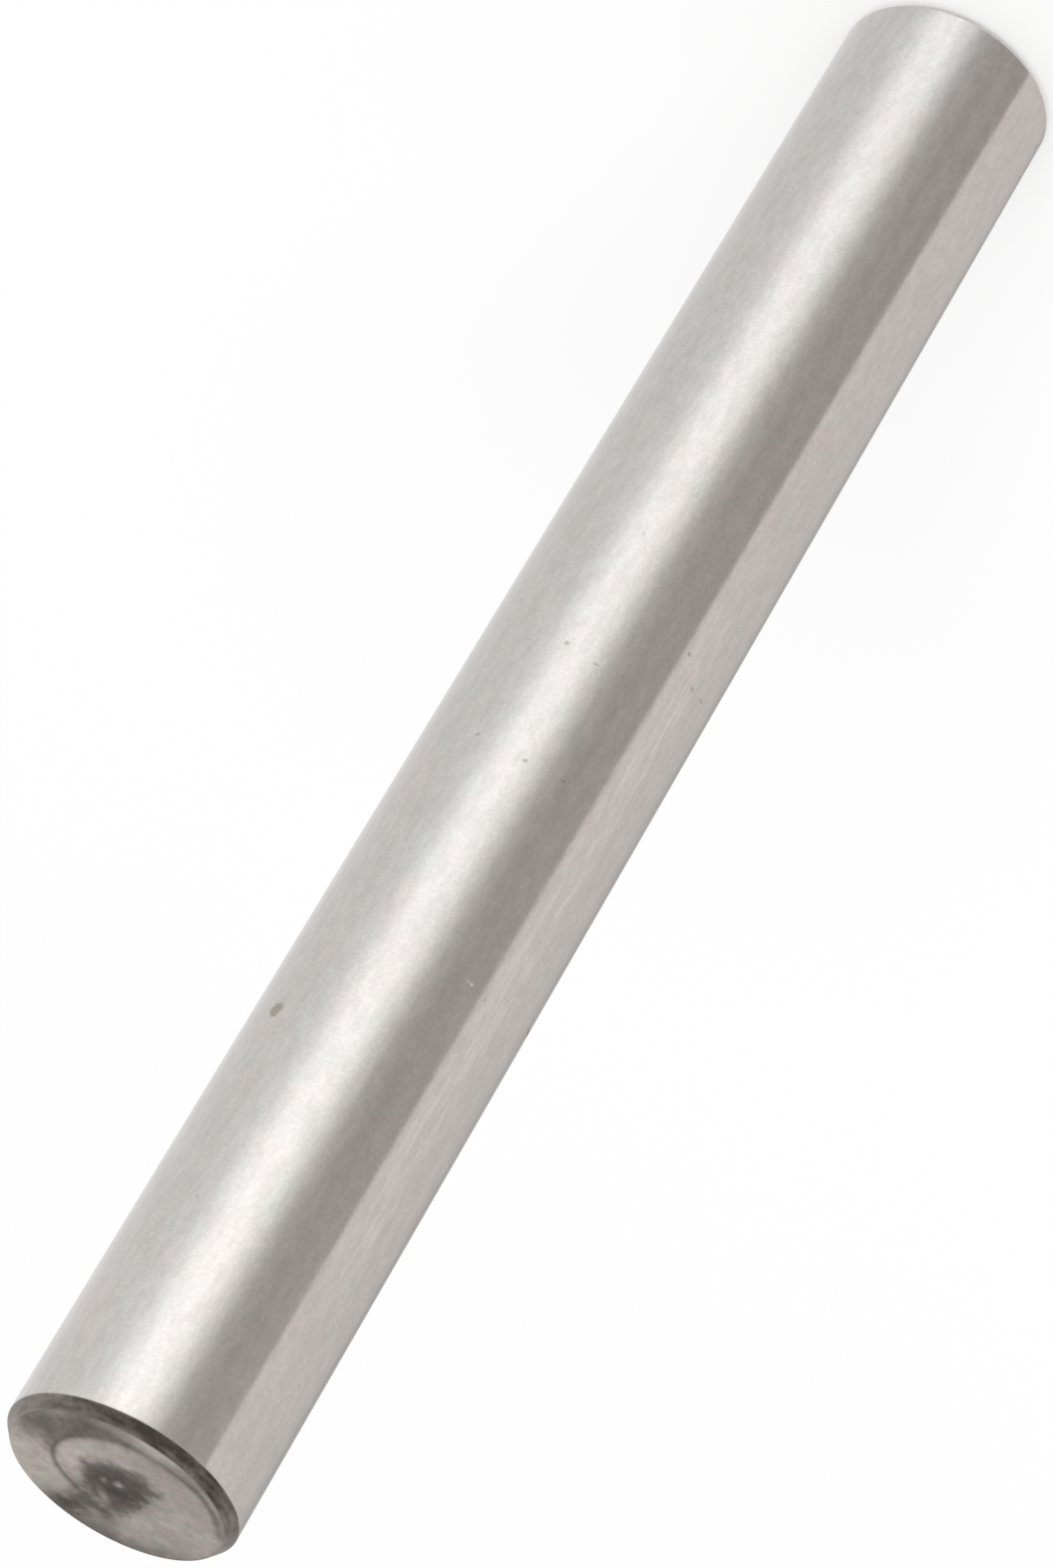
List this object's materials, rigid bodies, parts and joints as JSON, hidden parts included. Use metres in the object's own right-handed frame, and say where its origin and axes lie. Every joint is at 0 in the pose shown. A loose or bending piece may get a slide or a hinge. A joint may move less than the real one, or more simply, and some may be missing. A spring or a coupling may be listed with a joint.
{
  "type": "dowel pin",
  "caption": "Straight ground-steel dowel pin: a plain cylinder with flat, chamfered ends, pressed into reamed holes to line up mating parts.",
  "frame": {"origin": "centre of the end face that the pin stands on", "axes": "+Z along the pin, from the end it stands on to the end with the turned centre; X and Y are free"},
  "size_m": [0.01, 0.01, 0.08],
  "materials": {
    "ground_steel": "centreless ground"
  },
  "bodies": {
    "root": {"dowel_pin": "ground_steel"}
  },
  "joints": []
}
